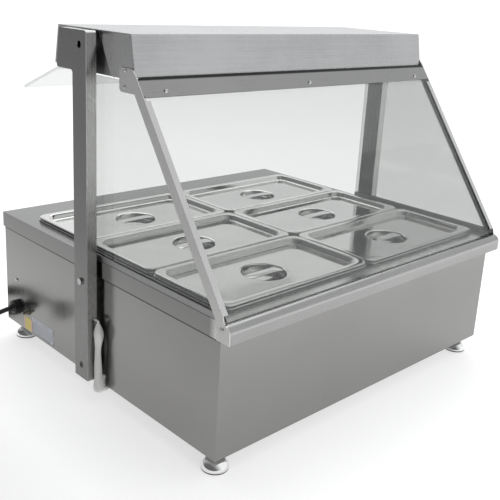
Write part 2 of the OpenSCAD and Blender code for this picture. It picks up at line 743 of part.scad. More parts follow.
module label_plates() color("lightsteelblue") {
    block(-side_x - 0.3, -side_x, 136, 213, 37.5, 67.5);
    block(-side_x - 0.3, -side_x, 214.5, 245.5, 34.5, 59.5);
}

module case_screws() color("gainsboro") {
    both_sides() translate([side_x, 271.2, 124.2]) rotate([0, 90, 0]) dome_screw(6);
    for (x = [-320, 0, 320]) translate([x, shell_y1, zb + 8]) rotate([-90, 0, 0]) dome_screw(6);
}

module lamp_lead_sleeve() color("white") {
    translate([sleeve_x, sleeve_y, 0]) rotate_extrude() polygon(sleeve_profile);
    translate([sleeve_exit_x, sleeve_y, sleeve_exit_z]) sphere(r = 2.5);
    rod_y(sleeve_y, -post_y + post_t + 2, sleeve_exit_x, sleeve_exit_z, 2.5);
    rod_x(sleeve_x, sleeve_entry_x, sleeve_y, 25, 5.5);
    translate([sleeve_entry_x, sleeve_y, 25]) sphere(r = 5.5);
    translate([sleeve_entry_x, sleeve_y, 25]) cylinder(h = 14, r = 5.5);
}

module terminal_block() color("white") block(-322, -286, 236, 258, zb + sheet, zb + sheet + 18);

worktop();
front_nose();
body_shell();
rear_panel();
bottom_tray();
well_tank();
pan_supports();
heating_element();
post_left();
post_right();
post_spacers();
post_bolts();
hood_shell();
hood_ends();
lamp_reflector();
lamp_holders();
heat_lamp();
rear_visor();
visor_clips();
front_glass();
top_rail();
glazing_screws();
strut_left();
strut_right();
side_glass_left();
side_glass_right();
glass_channels();
pan_front_left();
pan_middle_left();
pan_rear_left();
pan_front_right();
pan_middle_right();
pan_rear_right();
lid_front_left();
lid_middle_left();
lid_rear_left();
lid_front_right();
lid_middle_right();
lid_rear_right();
thermostat_body();
thermostat_knob();
switch_housings();
power_rocker();
lamp_rocker();
indicator_lamp();
foot_front_left();
foot_front_right();
foot_rear_left();
foot_rear_right();
foot_sockets();
cable_gland();
mains_cord();
mains_cord_coil();
cord_tie();
mains_plug();
bonding_stud();
label_plates();
case_screws();
lamp_lead_sleeve();
terminal_block();
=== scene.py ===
"""The looks of a countertop steam table: six lidded pans in a heated well, a lamp hood and a sneeze glass."""

import json
import math

import bmesh
import bpy
from mathutils import Matrix, Vector


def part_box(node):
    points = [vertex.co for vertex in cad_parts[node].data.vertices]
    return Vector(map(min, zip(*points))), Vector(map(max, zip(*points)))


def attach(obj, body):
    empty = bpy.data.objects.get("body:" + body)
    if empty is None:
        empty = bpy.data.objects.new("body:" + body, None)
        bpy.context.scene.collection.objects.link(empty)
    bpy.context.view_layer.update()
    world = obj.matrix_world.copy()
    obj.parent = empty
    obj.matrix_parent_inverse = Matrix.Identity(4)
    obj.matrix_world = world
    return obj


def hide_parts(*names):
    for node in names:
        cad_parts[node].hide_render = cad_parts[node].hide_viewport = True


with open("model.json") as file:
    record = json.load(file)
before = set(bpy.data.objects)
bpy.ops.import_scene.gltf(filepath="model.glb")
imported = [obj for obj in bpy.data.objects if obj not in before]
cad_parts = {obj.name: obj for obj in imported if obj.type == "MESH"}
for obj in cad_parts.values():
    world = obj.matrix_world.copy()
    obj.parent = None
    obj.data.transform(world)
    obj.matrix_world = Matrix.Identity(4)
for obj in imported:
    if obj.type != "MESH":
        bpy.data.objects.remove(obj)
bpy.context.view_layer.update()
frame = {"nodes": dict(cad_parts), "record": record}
NODES = frame["nodes"]
TABLE = "table"
ROWS = ("front", "middle", "rear")
COLUMNS = ("left", "right")


# ---------------------------------------------------------------- camera

def add_camera():
    """A long-lens studio camera at the customer's left, slightly above the hood, with a small roll."""
    azimuth, elevation, roll = (math.radians(a) for a in (-44.38, 16.27, 3.25))
    back = Vector((math.sin(azimuth) * math.cos(elevation), -math.cos(azimuth) * math.cos(elevation),
                   math.sin(elevation)))
    right = Vector((math.cos(azimuth), math.sin(azimuth), 0))
    up = back.cross(right)
    tilted_right = right * math.cos(roll) + up * math.sin(roll)
    tilted_up = up * math.cos(roll) - right * math.sin(roll)
    data = bpy.data.cameras.new("camera")
    data.sensor_width = 36
    data.lens = 55.4
    data.shift_x = -0.002
    data.shift_y = -0.074
    camera = bpy.data.objects.new("camera", data)
    turn = Matrix((tilted_right, tilted_up, back)).transposed().to_4x4()
    camera.matrix_world = Matrix.Translation((-0.993, -1.018, 0.684)) @ turn
    bpy.context.collection.objects.link(camera)
    bpy.context.scene.camera = camera


add_camera()


# ---------------------------------------------------------------- node material helpers

class Paint:
    """A Principled material with short calls for the texture chains that feed it."""

    def __init__(self, name, color, metallic=0.0, roughness=0.4, **sockets):
        self.material = bpy.data.materials.new(name)
        self.material.use_nodes = True
        self.tree = self.material.node_tree
        self.bsdf = self.tree.nodes["Principled BSDF"]
        self.set("Base Color", (*color, 1))
        self.set("Metallic", metallic)
        self.set("Roughness", roughness)
        for socket, value in sockets.items():
            self.set(socket.replace("_", " "), value)
        self.coords = self.add("ShaderNodeTexCoord").outputs["Object"]

    def set(self, socket, value):
        self.bsdf.inputs[socket].default_value = value

    def add(self, kind, **settings):
        node = self.tree.nodes.new(kind)
        for key, value in settings.items():
            setattr(node, key, value)
        return node

    def link(self, output, target):
        self.tree.links.new(output, target)

    def noise(self, scale, detail=3.0, rough=0.55):
        """Noise whose scale is per metre along each axis, so grain is made by unequal scales."""
        mapping = self.add("ShaderNodeMapping")
        mapping.inputs["Scale"].default_value = scale
        self.link(self.coords, mapping.inputs["Vector"])
        noise = self.add("ShaderNodeTexNoise")
        noise.inputs["Scale"].default_value = 1.0
        noise.inputs["Detail"].default_value = detail
        noise.inputs["Roughness"].default_value = rough
        self.link(mapping.outputs["Vector"], noise.inputs["Vector"])
        return noise.outputs["Fac"]

    def axis(self, letter):
        """The object coordinate along X, Y or Z, in metres."""
        axes = self.add("ShaderNodeSeparateXYZ")
        self.link(self.coords, axes.inputs["Vector"])
        return axes.outputs[letter]

    def spread(self, value, low, high, source=(0.3, 0.7)):
        """The value's range source, mapped to low..high and held there beyond its ends."""
        node = self.add("ShaderNodeMapRange")
        for socket, number in zip(("From Min", "From Max", "To Min", "To Max"), (*source, low, high)):
            node.inputs[socket].default_value = number
        self.link(value, node.inputs["Value"])
        return node.outputs["Result"]

    def math(self, operation, first, second):
        node = self.add("ShaderNodeMath", operation=operation)
        for socket, value in zip(node.inputs, (first, second)):
            if isinstance(value, (int, float)):
                socket.default_value = value
            else:
                self.link(value, socket)
        return node.outputs["Value"]

    def blend(self, factor, first, second):
        """Colour that runs from first to second; each is a colour triple or another node's output."""
        mix = self.add("ShaderNodeMix", data_type="RGBA")
        self.link(factor, mix.inputs["Factor"])
        for socket, value in (("A", first), ("B", second)):
            if isinstance(value, tuple):
                mix.inputs[socket].default_value = (*value, 1)
            else:
                self.link(value, mix.inputs[socket])
        return mix.outputs["Result"]

    def scale(self, color, factor):
        node = self.add("ShaderNodeVectorMath", operation="SCALE")
        self.link(color, node.inputs[0])
        self.link(factor, node.inputs["Scale"])
        return node.outputs["Vector"]

    def tint(self, factor, dark, light, crevice=0.0, shadow_seam=None, gain=None):
        """Base colour from dark to light, with painted shade in gaps narrower than crevice and a painted
        shadow line just below the seam height.
        """
        color = self.blend(factor, dark, light)
        if gain is not None:
            color = self.scale(color, gain)
        # Painted shade: the colour darkens in gaps narrower than crevice.
        if crevice:
            shadow = self.add("ShaderNodeAmbientOcclusion", samples=6)
            shadow.inputs["Distance"].default_value = crevice
            color = self.scale(color, self.spread(shadow.outputs["AO"], 0.3, 1.0, source=(0.3, 0.8)))
        # Painted shadow: a dark band a few millimetres below the seam height.
        if shadow_seam:
            shadow_band = (shadow_seam - 0.0038, shadow_seam - 0.0022)
            color = self.scale(color, self.spread(self.axis("Z"), 1.0, 0.1, source=shadow_band))
        self.link(color, self.bsdf.inputs["Base Color"])

    def bump(self, height, distance, strength=1.0, soft_edge=0.0):
        bump = self.add("ShaderNodeBump")
        bump.inputs["Distance"].default_value = distance
        bump.inputs["Strength"].default_value = strength
        self.link(height, bump.inputs["Height"])
        if soft_edge:
            self.link(self.rounded(soft_edge), bump.inputs["Normal"])
        self.link(bump.outputs["Normal"], self.bsdf.inputs["Normal"])

    def rounded(self, radius):
        bevel = self.add("ShaderNodeBevel", samples=4)
        bevel.inputs["Radius"].default_value = radius
        return bevel.outputs["Normal"]

    def edge_wear_and_highlight(self, radius):
        """1 on edges and 0 on flats, for smoother worn edges and a painted highlight on them: how far the
        rounded normal leans from the true one.
        """
        geometry = self.add("ShaderNodeNewGeometry")
        dot = self.add("ShaderNodeVectorMath", operation="DOT_PRODUCT")
        self.link(self.rounded(radius), dot.inputs[0])
        self.link(geometry.outputs["Normal"], dot.inputs[1])
        return self.spread(dot.outputs["Value"], 1.0, 0.0, source=(0.75, 0.99))


def grain_scale(axis, along, across):
    return tuple(along if k == "XYZ".index(axis) else across for k in range(3))


def shade(color, factor):
    return tuple(min(1.0, c * factor) for c in color)


def painted_side_shade(paint):
    """Gain that paints shade on the faces that look along X."""
    facing = paint.add("ShaderNodeSeparateXYZ")
    paint.link(paint.add("ShaderNodeTexCoord").outputs["Normal"], facing.inputs["Vector"])
    return paint.spread(paint.math("ABSOLUTE", facing.outputs["X"], 0.0), 1.0, 0.46, source=(0.6, 0.9))


def painted_front_light(paint):
    """Gain that paints light on the strip in front of the pans."""
    return paint.spread(paint.axis("Y"), 3.2, 1.0, source=(-0.314, -0.292))


def brushed_steel(name, color, axis, roughness=0.3, grain=1.0, smudge=1.0, edge=0.0008, shadow_seam=None, gain=None):
    """Satin sheet steel: fine scratches along one axis, cloudy hand marks, and worn edges that are smoother
    and carry a painted highlight.

    Narrow gaps get painted shade, a painted shadow line lies just below the seam height, and gain makes a
    factor for the colour."""
    paint = Paint(name, color, metallic=1.0, roughness=roughness)
    fine = paint.noise(grain_scale(axis, 6, 2600), detail=2)
    coarse = paint.noise(grain_scale(axis, 2, 420), detail=3)
    cloud = paint.noise((7, 7, 7), detail=4)
    marks = paint.noise((38, 38, 38), detail=5, rough=0.65)
    lines = paint.math("ADD", paint.math("MULTIPLY", fine, 0.65), paint.math("MULTIPLY", coarse, 0.35))
    haze = paint.spread(cloud, -0.05 * smudge, 0.07 * smudge)
    haze = paint.math("ADD", haze, paint.spread(marks, -0.02 * smudge, 0.03 * smudge))
    rough = paint.math("ADD", paint.spread(lines, roughness - 0.06, roughness + 0.06), haze)
    paint.link(paint.math("SUBTRACT", rough, paint.math("MULTIPLY", paint.edge_wear_and_highlight(edge), 0.06)),
               paint.bsdf.inputs["Roughness"])
    body = paint.math("ADD", paint.math("MULTIPLY", lines, 0.5), paint.math("MULTIPLY", cloud, 0.5))
    # Painted highlight: edges are lighter in colour; elsewhere the tone follows the grain and hand marks.
    light = paint.math("MAXIMUM", paint.spread(body, 0.0, 1.0, source=(0.38, 0.62)), paint.edge_wear_and_highlight(edge))
    paint.tint(light, shade(color, 1 - 0.1 * grain), shade(color, 1 + 0.06 * grain), crevice=0.003, shadow_seam=shadow_seam,
               gain=gain(paint) if gain else None)
    paint.bump(lines, 0.00004 * grain, soft_edge=edge)
    return paint.material


def drawn_steel(name, color, roughness=0.22):
    """Pressed pan steel: bright satin with faint draw lines, utensil scuffs and painted shade in narrow gaps.
    """
    paint = Paint(name, color, metallic=1.0, roughness=roughness)
    satin = paint.noise((900, 900, 900), detail=2)
    cloud = paint.noise((11, 11, 5), detail=4)
    scuff = paint.noise((160, 28, 60), detail=5, rough=0.7)
    rough = paint.math("ADD", paint.spread(cloud, roughness - 0.04, roughness + 0.07),
                       paint.spread(scuff, 0.0, 0.05, source=(0.5, 0.75)))
    paint.link(rough, paint.bsdf.inputs["Roughness"])
    # Painted shade: crevice darkens the colour in narrow gaps such as under the lid rims.
    paint.tint(paint.spread(cloud, 0.0, 1.0), shade(color, 0.93), shade(color, 1.05), crevice=0.0035)
    paint.bump(paint.math("ADD", paint.math("MULTIPLY", satin, 0.4), scuff), 0.000005)
    return paint.material


def plated(name, color, roughness=0.12, edge=0.0004):
    paint = Paint(name, color, metallic=1.0, roughness=roughness)
    pits = paint.noise((500, 500, 500), detail=4, rough=0.7)
    film = paint.noise((60, 60, 60), detail=3)
    paint.link(paint.spread(film, roughness - 0.04, roughness + 0.1), paint.bsdf.inputs["Roughness"])
    paint.tint(paint.spread(pits, 0.0, 1.0), shade(color, 0.8), color)
    paint.bump(pits, 0.00002, soft_edge=edge)
    return paint.material


def levelling_foot(name, color, pad):
    """Chrome foot on a rubber pad up to the height pad; the chrome gets painted shade where the table
    shelters it.
    """
    paint = Paint(name, color, metallic=1.0, roughness=0.06)
    chrome = paint.spread(paint.axis("Z"), 0.0, 1.0, source=(pad, pad + 0.0004))
    # Painted shade: the chrome's colour darkens where the table is close above it.
    shelter = paint.add("ShaderNodeAmbientOcclusion", samples=8)
    shelter.inputs["Distance"].default_value = 0.06
    open_air = paint.spread(shelter.outputs["AO"], 0.0, 1.0, source=(0.22, 0.5))
    plate = paint.blend(open_air, (0.03, 0.03, 0.03), color)
    paint.link(paint.blend(chrome, (0.02, 0.02, 0.02), plate), paint.bsdf.inputs["Base Color"])
    paint.link(chrome, paint.bsdf.inputs["Metallic"])
    paint.link(paint.spread(paint.noise((60, 60, 60), detail=3), 0.04, 0.12), paint.bsdf.inputs["Roughness"])
    paint.bump(paint.noise((500, 500, 500), detail=4), 0.00001, soft_edge=0.0006)
    return paint.material


def clear_glass(name, tint):
    """Tempered pane: a grey tint and no refraction, with a gloss coat that wipe marks dull in places."""
    paint = Paint(name, tint, roughness=0.0, Transmission_Weight=1.0, IOR=1.0, Coat_Weight=1.0, Coat_IOR=1.5)
    wipes = paint.noise((14, 3, 9), detail=5, rough=0.6)
    paint.link(paint.spread(wipes, 0.01, 0.06, source=(0.45, 0.8)), paint.bsdf.inputs["Coat Roughness"])
    dust = paint.noise((1200, 1200, 1200), detail=1)
    paint.tint(paint.spread(dust, 0.0, 1.0), shade(tint, 0.985), tint)
    return paint.material


def moulded(name, color, roughness=0.45, texture=0.00006, **sockets):
    """Moulded plastic, ceramic or rubber: a fine even grain and slight mottling."""
    paint = Paint(name, color, roughness=roughness, **sockets)
    grain = paint.noise((2200, 2200, 2200), detail=2)
    mottle = paint.noise((90, 90, 90), detail=4)
    paint.link(paint.spread(mottle, roughness - 0.07, roughness + 0.1), paint.bsdf.inputs["Roughness"])
    paint.tint(paint.spread(mottle, 0.0, 1.0), shade(color, 0.8), shade(color, 1.2))
    paint.bump(grain, texture, soft_edge=0.0006)
    return paint.material


def oxidised(name, color):
    paint = Paint(name, color, metallic=0.7, roughness=0.6)
    scale = paint.noise((240, 240, 240), detail=6, rough=0.7)
    heat = paint.noise((12, 12, 12), detail=2)
    paint.link(paint.spread(scale, 0.45, 0.8), paint.bsdf.inputs["Roughness"])
    paint.tint(paint.spread(heat, 0.0, 1.0), shade(color, 0.6), (0.3, 0.22, 0.16))
    paint.bump(scale, 0.0002)
    return paint.material


def woven_sleeving(name, color, corner, strands=44):
    """Woven glass-fibre sleeving: two families of diagonal strands and a little scorch and dust."""
    paint = Paint(name, color, roughness=0.75, Sheen_Weight=0.25)
    mapping = paint.add("ShaderNodeMapping")
    mapping.inputs["Location"].default_value = [-c for c in corner]
    paint.link(paint.coords, mapping.inputs["Vector"])
    heights = []
    for lean in (1, -1):
        turned = paint.add("ShaderNodeMapping")
        turned.inputs["Rotation"].default_value = (0.9 * lean, 0.0, 0.0)
        paint.link(mapping.outputs["Vector"], turned.inputs["Vector"])
        wave = paint.add("ShaderNodeTexWave", wave_type="BANDS", bands_direction="Z")
        wave.inputs["Scale"].default_value = strands * 5
        wave.inputs["Distortion"].default_value = 0.6
        wave.inputs["Detail Scale"].default_value = 2.0
        paint.link(turned.outputs["Vector"], wave.inputs["Vector"])
        heights.append(wave.outputs["Fac"])
    weave = paint.math("MAXIMUM", *heights)
    grime = paint.noise((60, 60, 25), detail=4)
    paint.tint(paint.math("MULTIPLY", paint.spread(grime, 0.6, 1.0), paint.spread(weave, 0.85, 1.0, (0, 1))),
               shade(color, 0.62), color)
    paint.bump(weave, 0.0004)
    return paint.material


def foil_label(name, color, ink):
    """Two blank stickers on one foil: a ruled silver plate, and behind it a yellow one with pink edges."""
    paint = Paint(name, color, metallic=0.3, roughness=0.35)
    rules = paint.add("ShaderNodeTexWave", wave_type="BANDS", bands_direction="Z", wave_profile="SAW")
    rules.inputs["Scale"].default_value = 62
    paint.link(paint.coords, rules.inputs["Vector"])
    strokes = paint.noise((0, 330, 70), detail=1)
    printed = paint.math("MULTIPLY", paint.spread(rules.outputs["Fac"], 0.0, 0.9, source=(0.4, 0.5)),
                         paint.spread(strokes, 0.0, 1.0, source=(0.42, 0.48)))
    plate = paint.blend(printed, color, ink)
    from_middle = paint.math("ABSOLUTE", paint.math("SUBTRACT", paint.axis("Y"), 0.23), 0.0)
    sticker = paint.blend(paint.spread(from_middle, 0.0, 1.0, source=(0.0095, 0.0105)),
                          (0.62, 0.52, 0.12), (0.62, 0.42, 0.36))
    color = paint.blend(paint.spread(paint.axis("Y"), 0.0, 1.0, source=(0.2135, 0.214)), plate, sticker)
    paint.link(color, paint.bsdf.inputs["Base Color"])
    paint.bump(paint.noise((260, 260, 260), detail=3), 0.00012)
    return paint.material


# The brushed steels are lit and shaded copies of one stainless finish: their base colours differ to paint the
# light and shade each part gets.
MATERIALS = {
    # The worktop gets painted light on the strip in front of the pans.
    "worktop_steel": brushed_steel("worktop_steel", (0.235, 0.235, 0.23), "X", roughness=0.2, grain=0.6,
                                   gain=painted_front_light),
    # The body gets a painted shadow line just below the worktop's apron.
    "body_steel": brushed_steel("body_steel", (0.262, 0.26, 0.252), "Z", roughness=0.17, grain=0.4,
                                smudge=0.6, shadow_seam=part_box("worktop")[0].z),
    # The post gets painted shade on its faces that look along X.
    "post_steel": brushed_steel("post_steel", (0.43, 0.428, 0.422), "Z", roughness=0.24, grain=0.7,
                                edge=0.0014, gain=painted_side_shade),
    "hood_steel": brushed_steel("hood_steel", (0.4, 0.4, 0.402), "X", roughness=0.27, edge=0.0025),
    "nose_steel": brushed_steel("nose_steel", (0.3, 0.3, 0.296), "X", roughness=0.26, grain=0.6),
    # The rail gets a painted shadow line where it meets the hood's lower edge.
    "rail_steel": brushed_steel("rail_steel", (0.27, 0.27, 0.266), "X", grain=0.7,
                                shadow_seam=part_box("hood_shell")[0].z + 0.0052),
    "strut_steel": brushed_steel("strut_steel", (0.52, 0.52, 0.51), "Z", roughness=0.28),
    "inner_steel": brushed_steel("inner_steel", (0.3, 0.3, 0.3), "Y", roughness=0.36),
    "pan_steel": drawn_steel("pan_steel", (0.6, 0.6, 0.59), roughness=0.2),
    "lid_steel": drawn_steel("lid_steel", (0.67, 0.67, 0.655), roughness=0.08),
    "fastener": plated("fastener", (0.5, 0.5, 0.5), roughness=0.2),
    "foot_chrome": levelling_foot("foot_chrome", (0.85, 0.85, 0.85), 0.0022),
    "element": oxidised("element", (0.12, 0.11, 0.1)),
    "reflector": plated("reflector", (0.8, 0.8, 0.8), roughness=0.3),
    "ceramic": moulded("ceramic", (0.8, 0.77, 0.7), roughness=0.3, Coat_Weight=0.3),
    "lamp_tube": moulded("lamp_tube", (0.9, 0.86, 0.8), roughness=0.25, Transmission_Weight=0.4),
    "clear_glass": clear_glass("clear_glass", (0.66, 0.67, 0.66)),
    "control_black": moulded("control_black", (0.022, 0.022, 0.023), roughness=0.42),
    "rocker_green": moulded("rocker_green", (0.02, 0.32, 0.08), roughness=0.22, Coat_Weight=0.5),
    "lamp_amber": moulded("lamp_amber", (0.8, 0.32, 0.02), roughness=0.18, Coat_Weight=0.6),
    "gland_black": moulded("gland_black", (0.008, 0.008, 0.01), roughness=0.35),
    "cord_black": moulded("cord_black", (0.012, 0.012, 0.012), roughness=0.5),
    "brass": plated("brass", (0.3, 0.285, 0.25), roughness=0.25),
    "label": foil_label("label", (0.6, 0.62, 0.68), (0.03, 0.035, 0.05)),
    "sleeving": woven_sleeving("sleeving", (0.93, 0.93, 0.9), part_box("lamp_lead_sleeve")[0]),
    "ceramic_block": moulded("ceramic_block", (0.7, 0.68, 0.62), roughness=0.35),
}


def dress(piece, slot):
    piece.data.materials.clear()
    piece.data.materials.append(MATERIALS[slot])


for part in frame["record"]["subparts"]:
    dress(NODES[part["node"]], part["material_slot"])
# The rail and the nose get their own copies of the steel, lighter than the worktop's, as painted light.
dress(NODES["top_rail"], "rail_steel")
dress(NODES["front_nose"], "nose_steel")


# ---------------------------------------------------------------- mesh helpers

def mesh_object(name, mesh_bm, slot, body=TABLE, replaces=(), smooth=35):
    mesh = bpy.data.meshes.new(name)
    bmesh.ops.recalc_face_normals(mesh_bm, faces=mesh_bm.faces)
    mesh_bm.to_mesh(mesh)
    mesh_bm.free()
    piece = bpy.data.objects.new(name, mesh)
    bpy.context.collection.objects.link(piece)
    for face in mesh.polygons:
        face.use_smooth = True
    mesh.set_sharp_from_angle(angle=math.radians(smooth))
    mesh.materials.append(MATERIALS[slot])
    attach(piece, body)
    if replaces:
        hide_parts(*replaces)
    return piece


def bridge(skin, low, high):
    """One band of quads between two loops of equal point count."""
    for k in range(len(low)):
        nxt = (k + 1) % len(low)
        skin.faces.new((low[k], low[nxt], high[nxt], high[k]))


def loft(rings):
    """Closed skin through rings, its first and last rings filled."""
    skin = bmesh.new()
    loops = [[skin.verts.new(point) for point in ring] for ring in rings]
    for low, high in zip(loops, loops[1:]):
        bridge(skin, low, high)
    skin.faces.new(list(reversed(loops[0])))
    skin.faces.new(loops[-1])
    return skin


def sheet_skin(upper, lower):
    """Closed skin of a pressed sheet: down its upper side to a filled floor, and back up its lower side."""
    skin = bmesh.new()
    loops = [[skin.verts.new(point) for point in ring] for ring in upper + lower]
    for r, here in enumerate(loops):
        there = loops[(r + 1) % len(loops)]
        if r == len(upper) - 1:
            skin.faces.new(here)
            skin.faces.new(list(reversed(there)))
        else:
            bridge(skin, here, there)
    return skin


def rounded_ring(centre, width, length, corner, height, steps=10):
    """Rectangle with round corners, as points at one height."""
    ring = []
    for k, (sx, sy) in enumerate(((1, 1), (-1, 1), (-1, -1), (1, -1))):
        cx = centre[0] + sx * (width / 2 - corner)
        cy = centre[1] + sy * (length / 2 - corner)
        for j in range(steps + 1):
            angle = math.radians(90 * k + 90 * j / steps)
            ring.append((cx + corner * math.cos(angle), cy + corner * math.sin(angle), height))
    return ring


def circle_ring(centre, radius, height, count):
    """Circle whose points match rounded_ring's; each quarter stops short of its ends, so none coincide."""
    ring = []
    per_side = count // 4
    for k in range(4):
        for j in range(per_side):
            angle = math.radians(90 * k + 90 * j / (per_side - 1) * 0.98 + 0.9)
            ring.append((centre[0] + radius * math.cos(angle), centre[1] + radius * math.sin(angle), height))
    return ring


# ---------------------------------------------------------------- mains cord

CORD_D = 0.009
COIL = Vector((-0.408, 0.440, 0.0))
COIL_R = 0.054
COIL_LIFT = 0.001
PITCH = CORD_D - 0.0002
LEAD = [(-362, 272.9, 67.7), (-371, 273.2, 67), (-382, 275.5, 64), (-393, 282, 58.5), (-401, 293, 51),
        (-405, 307, 42), (-406, 322, 33), (-404, 338, 24), (-399, 353, 16.5), (-391, 367, 11),
        (-381, 380, 7.5), (-370, 392, 6), (-361, 403, 5.5), (-354.5, 415.5, 5.5), (-350.5, 428, 5.5),
        (-349.6, 440, 5.5)]
TAIL = [(-466.4, 440, 14.3), (-466.4, 424, 14.2), (-466.6, 408, 13.8), (-467, 392, 14.2), (-467.5, 376, 16),
        (-468, 360, 17.6), (-468, 346, 18)]


def smooth_route(points, steps=4):
    """Catmull-Rom curve through points given in millimetres."""
    pts = [Vector(p) / 1000 for p in points]
    out = []
    for i in range(len(pts) - 1):
        a, b, c, d = pts[max(i - 1, 0)], pts[i], pts[i + 1], pts[min(i + 2, len(pts) - 1)]
        for j in range(steps):
            t = j / steps
            out.append(0.5 * (2 * b + (c - a) * t + (2 * a - 5 * b + 4 * c - d) * t ** 2
                              + (3 * b - a - 3 * c + d) * t ** 3))
    return out + [pts[-1]]


def coil_route(turns=3.5, steps=36):
    """Two turns on the floor, outer then inner, and the rest on top of them, inner then outer."""
    tracks = [(0.5, 0), (-0.5, 0), (-0.5, 1), (0.5, 1)]
    out = []
    for k in range(1, int(turns * steps)):
        turn, part = divmod(k / steps, 1)
        here, after = tracks[int(turn)], tracks[min(int(turn) + 1, 3)]
        ease = max(0.0, (part - 0.82) / 0.18)
        ease = ease * ease * (3 - 2 * ease)
        side, row = (h + (n - h) * ease for h, n in zip(here, after))
        radius = COIL_R + side * PITCH
        angle = 2 * math.pi * part
        out.append(COIL + Vector((radius * math.cos(angle), radius * math.sin(angle),
                                  COIL_LIFT + CORD_D / 2 + row * PITCH)))
    return out


def add_cord():
    route = smooth_route(LEAD) + coil_route() + smooth_route(TAIL)
    data = bpy.data.curves.new("mains_lead", "CURVE")
    data.dimensions = "3D"
    data.bevel_depth = CORD_D / 2
    data.bevel_resolution = 5
    data.use_fill_caps = True
    spline = data.splines.new("POLY")
    spline.points.add(len(route) - 1)
    for point, place in zip(spline.points, route):
        point.co = (*place, 1)
    spline.use_smooth = True
    data.materials.append(MATERIALS["cord_black"])
    lead = bpy.data.objects.new("mains_lead", data)
    bpy.context.collection.objects.link(lead)
    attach(lead, TABLE)
    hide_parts("mains_cord", "mains_cord_coil")


add_cord()


# ---------------------------------------------------------------- pans and lids

RIM_CORNER = 0.016
SHEET = 0.001
LID_PLAY = 0.0018


def pan_mesh(low, high):
    """Drawn pan: rolled rim, tapered walls, stacking shoulder and a rounded bottom."""
    cx, cy = (low[0] + high[0]) / 2, (low[1] + high[1]) / 2
    width, length = high[0] - low[0], high[1] - low[1]
    top, bottom = high[2], low[2]
    inner_w, inner_l = width - 0.0186, length - 0.0186
    upper = []
    for inset, depth in ((0.0, 0.0034), (0.0, 0.0012), (0.0005, 0.0003), (0.0014, 0.0)):
        upper.append(rounded_ring((cx, cy), width - 2 * inset, length - 2 * inset, RIM_CORNER, top - depth))
    for inset, depth in ((0.0, 0.0), (0.0012, 0.0005), (0.0018, 0.002), (0.0022, 0.018), (0.005, 0.021),
                         (0.0065, 0.086), (0.0085, 0.0935), (0.013, 0.0978), (0.02, 0.099)):
        upper.append(rounded_ring((cx, cy), inner_w - 2 * inset, inner_l - 2 * inset, 0.0135, top - depth))
    depth_end = top - bottom
    lower = []
    for inset, depth in ((0.02, depth_end), (0.0125, depth_end - 0.001), (0.0075, depth_end - 0.0055),
                         (0.0055, depth_end - 0.013), (0.004, 0.0215), (0.0012, 0.0185), (0.0007, 0.0036)):
        lower.append(rounded_ring((cx, cy), inner_w - 2 * inset, inner_l - 2 * inset, 0.0145, top - depth))
    lower.append(rounded_ring((cx, cy), width - 0.003, length - 0.003, RIM_CORNER - 0.001, top - 0.0014))
    lower.append(rounded_ring((cx, cy), width - 0.002, length - 0.002, RIM_CORNER - 0.001, top - 0.0034))
    return sheet_skin(upper, lower)


def lid_mesh(low, high):
    """Pressed lid: rolled rim, sloping recess, flat floor and a round dish under the handle."""
    cx, cy = (low[0] + high[0]) / 2, (low[1] + high[1]) / 2
    width, length = high[0] - low[0] - LID_PLAY, high[1] - low[1] - LID_PLAY
    top, bottom = high[2], low[2]
    recess_w, recess_l = width - 0.0186, length - 0.0206
    upper = []
    for inset, depth in ((0.0, 0.0028), (0.0, 0.0016), (0.0004, 0.0007), (0.0014, 0.0001), (0.003, 0.0)):
        upper.append(rounded_ring((cx, cy), width - 2 * inset, length - 2 * inset, RIM_CORNER, top - depth))
    for inset, depth, corner in ((0.0, 0.0, 0.021), (0.0009, 0.0003, 0.021), (0.0017, 0.0012, 0.0205),
                                 (0.0035, 0.0078, 0.019), (0.0045, 0.0093, 0.0185), (0.0062, 0.01, 0.018),
                                 (0.0068, 0.01, 0.0174)):
        upper.append(rounded_ring((cx, cy), recess_w - 2 * inset, recess_l - 2 * inset, corner, top - depth))
    count = len(upper[0])
    radius = 0.0375
    dish = top - 0.01 - bottom - SHEET
    for grow, depth in ((0.0041, 0.0), (0.0035, 0.0), (0.0012, 0.0003), (0.0, 0.0012),
                        (-0.0012, dish - 0.002), (-0.0024, dish - 0.0005), (-0.0045, dish), (-0.0051, dish)):
        upper.append(circle_ring((cx, cy), radius + grow, top - 0.01 - depth, count))
    lower = []
    for ring in reversed(upper[3:]):
        lower.append([(x, y, z - SHEET) for x, y, z in ring])
    inside = (width - 2 * SHEET, length - 2 * SHEET, RIM_CORNER - SHEET)
    lower.append(rounded_ring((cx, cy), *inside, top - 0.0028))
    return sheet_skin(upper, lower)


def strap_mesh(low, high):
    """Handle strap across the dish: a flat bar with rounded edges that dips a little at its ends."""
    cx, cy = (low[0] + high[0]) / 2, (low[1] + high[1]) / 2
    floor = high[2] - 0.01
    rings = []
    for k in range(-10, 11):
        along = k / 10 * 0.0372
        drop = 0.0016 * (abs(k) / 10) ** 4
        half = 0.0098 - 0.0014 * math.cos(math.pi * k / 20)
        ring = []
        for j in range(16):
            angle = 2 * math.pi * j / 16
            square = 1 / max(abs(math.cos(angle)), abs(math.sin(angle)))
            y, z = half * math.cos(angle) * square, 0.0011 * math.sin(angle) * square
            y, z = y * (1 - 0.06 * abs(z) / 0.0011), z * (1 - 0.35 * (abs(y) / half) ** 6)
            ring.append((cx + along, cy + y, floor - 0.0012 - drop + z))
        rings.append(ring)
    return loft(rings)


